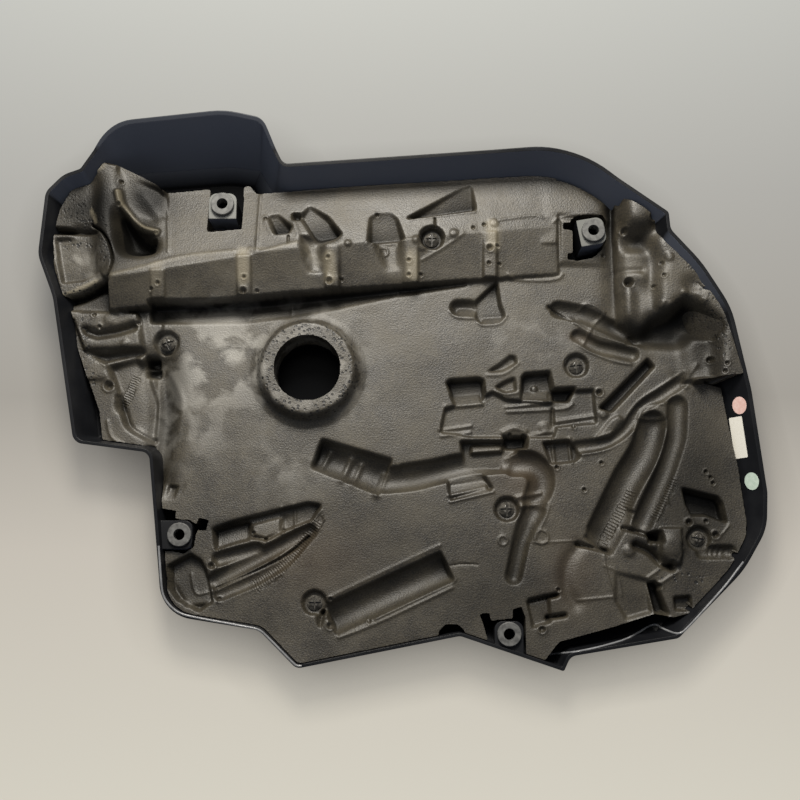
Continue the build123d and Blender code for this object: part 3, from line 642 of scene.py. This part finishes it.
def height_at(tree_of_node, x, y):
    """Height of a CAD node at a place in millimetres, or None beside it."""
    hit = tree_of_node.ray_cast(Vector((x * MM, y * MM, RAY_START * MM)), Vector((0, 0, -1)))[0]
    return hit.z / MM if hit else None


# Heights of the CAD foam on a grid, in millimetres
low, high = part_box("acoustic_foam")
xs = np.arange(low[0] / MM - GRID, high[0] / MM + 2 * GRID, GRID)
ys = np.arange(low[1] / MM - GRID, high[1] / MM + 2 * GRID, GRID)
X, Y = np.meshgrid(xs, ys)
foam_tree = surface_tree("acoustic_foam")
heights = np.array([[height_at(foam_tree, x, y) for x in xs] for y in ys], dtype=float)


def blurred(field, sigma):
    """Field smoothed by a Gaussian of a width in grid steps."""
    reach = int(3 * sigma + 1)
    weights = np.exp(-0.5 * (np.arange(-reach, reach + 1) / sigma) ** 2)
    weights /= weights.sum()
    for axis in (0, 1):
        margins = [(reach, reach) if a == axis else (0, 0) for a in (0, 1)]
        padded = np.pad(field, margins, mode="edge")
        count = field.shape[axis]
        field = sum(
            weight * np.take(padded, np.arange(shift, shift + count), axis)
            for shift, weight in enumerate(weights))
    return field


def ease(share):
    """Smooth step from 0 to 1."""
    share = np.clip(share, 0, 1)
    return share * share * (3 - 2 * share)


def window(points, margin):
    """Part of the grid around some points."""
    across = [point[0] for point in points]
    along = [point[1] for point in points]
    left, right = np.searchsorted(xs, (min(across) - margin, max(across) + margin))
    bottom, top = np.searchsorted(ys, (min(along) - margin, max(along) + margin))
    return slice(bottom, top), slice(left, right)


def rounded(path):
    """Path with its corners cut twice, so that it bends softly."""
    for turn in range(2):
        cut = [path[0]]
        for (x0, y0), (x1, y1) in zip(path, path[1:]):
            cut.append((0.75 * x0 + 0.25 * x1, 0.75 * y0 + 0.25 * y1))
            cut.append((0.25 * x0 + 0.75 * x1, 0.25 * y0 + 0.75 * y1))
        path = cut + [path[-1]]
    return path


def beside(path, part):
    """Distance from a path and length along it, at the places of part of the grid, and the whole length."""
    x, y = X[part], Y[part]
    nearest = np.full(x.shape, np.inf)
    along = np.zeros(x.shape)
    run = 0.0
    for (x0, y0), (x1, y1) in zip(path, path[1:]):
        dx, dy = x1 - x0, y1 - y0
        length = np.hypot(dx, dy)
        share = np.clip(((x - x0) * dx + (y - y0) * dy) / length ** 2, 0, 1)
        gap = np.hypot(x - x0 - share * dx, y - y0 - share * dy)
        along = np.where(gap < nearest, run + share * length, along)
        nearest = np.minimum(nearest, gap)
        run += length
    return nearest, along, run


def band(path, width, power):
    """Part of the grid around a path, and a share that falls to each side of it over a width."""
    part = window(path, 2 * width)
    return part, np.exp(-(2 * beside(path, part)[0] / width) ** power)


def inset(outline, part):
    """Distance from an outline, positive inside, at the places of part of the grid."""
    x, y = X[part], Y[part]
    closed = outline + outline[:1]
    gap = beside(closed, part)[0]
    odd = np.zeros(x.shape, bool)
    for (x0, y0), (x1, y1) in zip(closed, closed[1:]):
        if y0 != y1:
            odd ^= ((y0 > y) != (y1 > y)) & (x < (x1 - x0) * (y - y0) / (y1 - y0) + x0)
    return np.where(odd, gap, -gap)


def trough(floor_level, radius, gap):
    """Heights of a round trough at a distance from its axis."""
    return floor_level + radius - np.sqrt(np.maximum(radius ** 2 - gap ** 2, 0))


for floor_level, outline in FLOORS.values():
    part = window(outline, 0)
    through = np.isnan(heights[part]) & (inset(outline, part) > 0)
    heights[part] = np.where(through, floor_level, heights[part])
solid = ~np.isnan(heights)
relief = np.where(solid, heights, 0.0)


def softened(field, width):
    """Heights inside the foam's outline, smoothed over a width in millimetres."""
    share = np.maximum(blurred(solid.astype(float), width / GRID), 1e-6)
    return blurred(np.where(solid, field, 0.0), width / GRID) / share


# Troughs, faces and soft zones
for field_level, outline in LEVELLED.values():
    part = window(outline, 1)
    share = ease(inset(outline, part) + 0.5)
    relief[part] += share * (field_level - relief[part])
for start, end, floor_level, axis in BARRELS.values():
    part = window(axis, 2 * max(start, end))
    (x0, y0), (x1, y1) = axis
    length = np.hypot(x1 - x0, y1 - y0)
    along = ((X[part] - x0) * (x1 - x0) + (Y[part] - y0) * (y1 - y0)) / length
    gap = np.abs((X[part] - x0) * (y1 - y0) - (Y[part] - y0) * (x1 - x0)) / length
    radius = start + (end - start) * along / length
    share = ease(along / BARREL_FADE) * ease((length - along) / BARREL_FADE) * (gap < radius)
    relief[part] += share * np.minimum(trough(floor_level, radius, gap) - relief[part], 0)
for start, end, start_floor, end_floor, path in HOSES.values():
    path = rounded(path)
    part = window(path, max(start, end))
    gap, along, length = beside(path, part)
    radius = start + (end - start) * along / length
    floor_level = start_floor + (end_floor - start_floor) * along / length
    deeper = np.minimum(relief[part], trough(floor_level, radius, gap))
    relief[part] = np.where(gap < radius, deeper, relief[part])
for wall, corners in FACES.values():
    part = window(corners, wall)
    spots = np.array(corners, dtype=float)
    terms = np.column_stack([spots[:, :2], np.ones(len(spots))])
    plane = np.linalg.lstsq(terms, spots[:, 2], rcond=None)[0]
    share = ease(inset([corner[:2] for corner in corners], part) / wall + 0.5)
    relief[part] += share * (plane[0] * X[part] + plane[1] * Y[part] + plane[2] - relief[part])
for softness, outline in SOFT_ZONES.values():
    part = window(outline, ZONE_FADE)
    share = ease(inset(outline, part) / ZONE_FADE + 0.5)
    relief[part] += share * (softened(relief, softness)[part] - relief[part])
relief = softened(relief, EDGE_SOFTNESS)

# Rounded shoulder of the collar
from_collar = np.hypot(X - COLLAR[0], Y - COLLAR[1])
inner_side = ease((from_collar - SHOULDER[0]) / SHOULDER_FADE)
outer_side = ease((SHOULDER[1] - from_collar) / SHOULDER_FADE)
relief += inner_side * outer_side * (softened(relief, SHOULDER_SOFTNESS) - relief)

# Grooves, lips, rings, pads and bubbles
for width, depth, path in GROOVES.values():
    part, share = band(rounded(path), width, ROUND_TOP)
    relief[part] -= depth * share
for width, rise, path in LIPS.values():
    part, share = band(rounded(path), width, ROUND_TOP)
    relief[part] += LIP_SHARE * rise * share
for x, y, radius in RINGS.values():
    part = window([(x, y)], 2 * radius)
    relief[part] += np.exp(-(np.hypot(X[part] - x, Y[part] - y) - radius) ** 2)
for x, y, radius, rise in PADS:
    part = window([(x, y)], 2 * radius)
    relief[part] += rise * np.exp(-(np.hypot(X[part] - x, Y[part] - y) / radius) ** FLAT_TOP)
for x, y, radius in BUBBLES:
    part = window([(x, y)], 3 * radius)
    gap = np.hypot(X[part] - x, Y[part] - y) / radius
    raised = BUBBLE_RIM["rise"] * radius * np.exp(-((gap - BUBBLE_RIM["place"]) / BUBBLE_RIM["width"]) ** 2)
    sunk = BUBBLE_PIT["depth"] * radius * np.exp(-(gap / BUBBLE_PIT["width"]) ** 2)
    relief[part] += raised - sunk

# Uneven skin
chance = np.random.default_rng(SEED)
for wave, rise in SKIN_WAVES:
    field = blurred(chance.normal(size=X.shape), wave / GRID)
    relief += rise * field / field.std()

# Marks of the skin: painted shade in hollows, stains and patches of painted shade, torn foam and painted
# highlights, pits and fine ribs
around = softened(relief, HOLLOW_WIDTH)
skin_marks = {name: np.zeros(X.shape) for name in ("torn", "pitted", "rib_phase", "rib_share")}
# Painted shade: a place is painted darker the deeper it lies below its surroundings
skin_marks["hollow"] = ease((around - relief - HOLLOW_START) / HOLLOW_DEPTH)
for name, stains in (("dust", DUST), ("brown", BROWN), ("grime", PAINTED_SHADE)):
    skin_marks[name] = np.clip(sum(
        strength * np.exp(-((X - x) / across) ** 2 - ((Y - y) / along) ** 2)
        for x, y, across, along, strength in stains), 0, 1)
for width, strength, path in TORN_AND_HIGHLIGHTS.values():
    part, share = band(path, width, FLAT_TOP)
    skin_marks["torn"][part] += strength * share
for width, path in PITTED.values():
    part, share = band(path, width, FLAT_TOP)
    skin_marks["pitted"][part] += share
for reach, pitch, path in RIBS.values():
    part = window(path, reach + 1)
    gap, along, length = beside(path, part)
    share = ease(reach + 0.5 - gap)
    skin_marks["rib_phase"][part] = np.where(share > 0, along / pitch, skin_marks["rib_phase"][part])
    skin_marks["rib_share"][part] = np.maximum(share, skin_marks["rib_share"][part])

# Closed mesh over the grid: worked top, leaning sides and flat back
back = low[2] / MM
relief = np.maximum(relief, back + LEAST_FOAM)
rows, columns = np.nonzero(solid)
number = np.full(X.shape, -1)
number[rows, columns] = np.arange(len(rows))
top = np.column_stack([X[rows, columns], Y[rows, columns], relief[rows, columns]])
corners = [number[:-1, :-1], number[:-1, 1:], number[1:, 1:], number[1:, :-1]]
quads = np.stack(corners, axis=-1).reshape(-1, 4)
quads = quads[(quads >= 0).all(axis=1)]
mesh = bpy.data.meshes.new("moulded_foam")
mesh.from_pydata((top * MM).tolist(), [], quads.tolist())
work = bmesh.new()
work.from_mesh(mesh)
bmesh.ops.delete(work, geom=[v for v in work.verts if not v.link_faces], context="VERTS")
rim = {v: [e.other_vert(v) for e in v.link_edges if e.is_boundary] for v in work.verts if v.is_boundary}
for turn in range(OUTLINE_TURNS):
    places = {v: sum((n.co for n in near), v.co * 2) / (len(near) + 2) for v, near in rim.items()}
    for v, co in places.items():
        v.co.xy = co.xy
edges = [e for e in work.edges if e.is_boundary]
sides = bmesh.ops.extrude_edge_only(work, edges=edges)["geom"]
for v in sides:
    if isinstance(v, bmesh.types.BMVert):
        v.co.z = back * MM
        for turn in range(BACK_STEPS):
            v.co.xy = foam_tree.find_nearest(v.co)[0].xy
bottom = [e for e in sides if isinstance(e, bmesh.types.BMEdge) and e.is_boundary]
bmesh.ops.triangle_fill(work, use_beauty=False, use_dissolve=False, edges=bottom)
bmesh.ops.recalc_face_normals(work, faces=work.faces)
work.to_mesh(mesh)
work.free()

# Foam with fewer triangles, its skin and its marks
moulded = bpy.data.objects.new("moulded_foam", mesh)
bpy.context.scene.collection.objects.link(moulded)
triangles = sum(len(polygon.vertices) - 2 for polygon in mesh.polygons)
decimate = moulded.modifiers.new("fewer triangles", "DECIMATE")
decimate.ratio = min(1.0, FOAM_TRIANGLES / triangles)
reduced = bpy.data.meshes.new_from_object(moulded.evaluated_get(bpy.context.evaluated_depsgraph_get()))
moulded.modifiers.clear()
moulded.data = reduced
reduced.materials.clear()
reduced.materials.append(foam_skin)
reduced.shade_smooth()
reduced.set_sharp_from_angle(angle=radians(SHARP_ANGLE))
spots = np.array([vertex.co for vertex in reduced.vertices]) / MM
columns = np.clip(np.rint((spots[:, 0] - xs[0]) / GRID).astype(int), 0, len(xs) - 1)
rows = np.clip(np.rint((spots[:, 1] - ys[0]) / GRID).astype(int), 0, len(ys) - 1)
for name, field in skin_marks.items():
    mark = reduced.attributes.new(name, "FLOAT", "POINT")
    mark.data.foreach_set("value", field[rows, columns].astype(np.float32))
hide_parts("acoustic_foam")
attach(moulded, "root")

# Rolled edges along the shell's lower corners, pale as a painted highlight
shell_tree = surface_tree("cover_shell")
curve = bpy.data.curves.new("rim_lip", "CURVE")
curve.dimensions = "3D"
curve.bevel_depth = RIM_LIP_RADIUS * MM
curve.bevel_resolution = 3
curve.use_fill_caps = True
curve.materials.append(rim_highlight_plastic)
for path in RIM_LIPS:
    lip_path = [(x, y, height_at(shell_tree, x, y)) for x, y in rounded(path)]
    spline = curve.splines.new("POLY")
    spline.points.add(len(lip_path) - 1)
    for point, (x, y, z) in zip(spline.points, lip_path):
        point.co = (x * MM, y * MM, z * MM, 1)
rim_lip = bpy.data.objects.new("rim_lip", curve)
bpy.context.scene.collection.objects.link(rim_lip)
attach(rim_lip, "root")

# Camera: looks down on the cover from a little off the vertical
camera = bpy.data.objects.new("camera", bpy.data.cameras.new("camera"))
bpy.context.scene.collection.objects.link(camera)
camera.data.lens = LENS
camera.data.sensor_width = SENSOR
camera.location = [value * MM for value in CAMERA]
camera.rotation_euler = (radians(CAMERA_TILT), 0, 0)
bpy.context.scene.camera = camera

# Painted board of the floor: pale and matt, greyer in the middle, with a soft shade beside the cover and its
# shadow lightened for the camera
floor_paint, tree, shader, place = surface("painted_board")
depth = node(tree, "ShaderNodeSeparateXYZ", {0: place}).outputs["Y"]
paint = node(tree, "ShaderNodeValToRGB", {0: ranged(tree, depth, -FLOOR_REACH, FLOOR_REACH)})
stops = paint.color_ramp.elements
stops[0].color = linear(FLOOR_NEAR)
stops[1].color = linear(FLOOR_FAR)
for spot, code in FLOOR_BETWEEN:
    stops.new(spot).color = linear(code)
wire(tree, shader, {"Base Color": paint.outputs[0], "Roughness": 0.9, "Specular IOR Level": 0.1})
rays = node(tree, "ShaderNodeLightPath").outputs
seen = joined(tree, "ADD", rays["Is Camera Ray"], rays["Is Glossy Ray"])
clear = joined(tree, "ADD", seen, rays["Is Transmission Ray"])
lifted = joined(tree, "MULTIPLY", clear, SHADOW_LIFT, clamp=True)
shade = node(
    tree, "ShaderNodeAmbientOcclusion", {"Color": paint.outputs[0], "Distance": FLOOR_SHADE * MM}, samples=12)
glow = node(tree, "ShaderNodeEmission", {"Color": shade.outputs[0]})
mixed = node(tree, "ShaderNodeMixShader", {0: lifted, 1: shader.outputs[0], 2: glow.outputs[0]})
wire(tree, tree.nodes["Material Output"], {"Surface": mixed.outputs[0]})
bpy.ops.mesh.primitive_plane_add(size=FLOOR_SIZE, location=(0, 0, -FLOOR_GAP * MM))
floor = bpy.context.object
floor.name = "floor"
floor.data.materials.append(floor_paint)

# Light: a window-like key from the far side, a weak lamp above the cover, and a weak bluish sky
for name, (place, size, power) in LAMPS.items():
    light = bpy.data.lights.new(name, "AREA")
    light.size = size
    light.energy = power
    light.color = linear("#fffaf0")[:3]
    lamp = bpy.data.objects.new(name, light)
    bpy.context.scene.collection.objects.link(lamp)
    lamp.location = place
    lamp.rotation_euler = (-Vector(place)).to_track_quat("-Z", "Y").to_euler()
world = bpy.data.worlds.new("sky")
bpy.context.scene.world = world
world.use_nodes = True
wire(world.node_tree, world.node_tree.nodes["Background"], {"Color": linear("#e4ebf8"), "Strength": 0.18})
bpy.context.scene.view_settings.view_transform = "Standard"
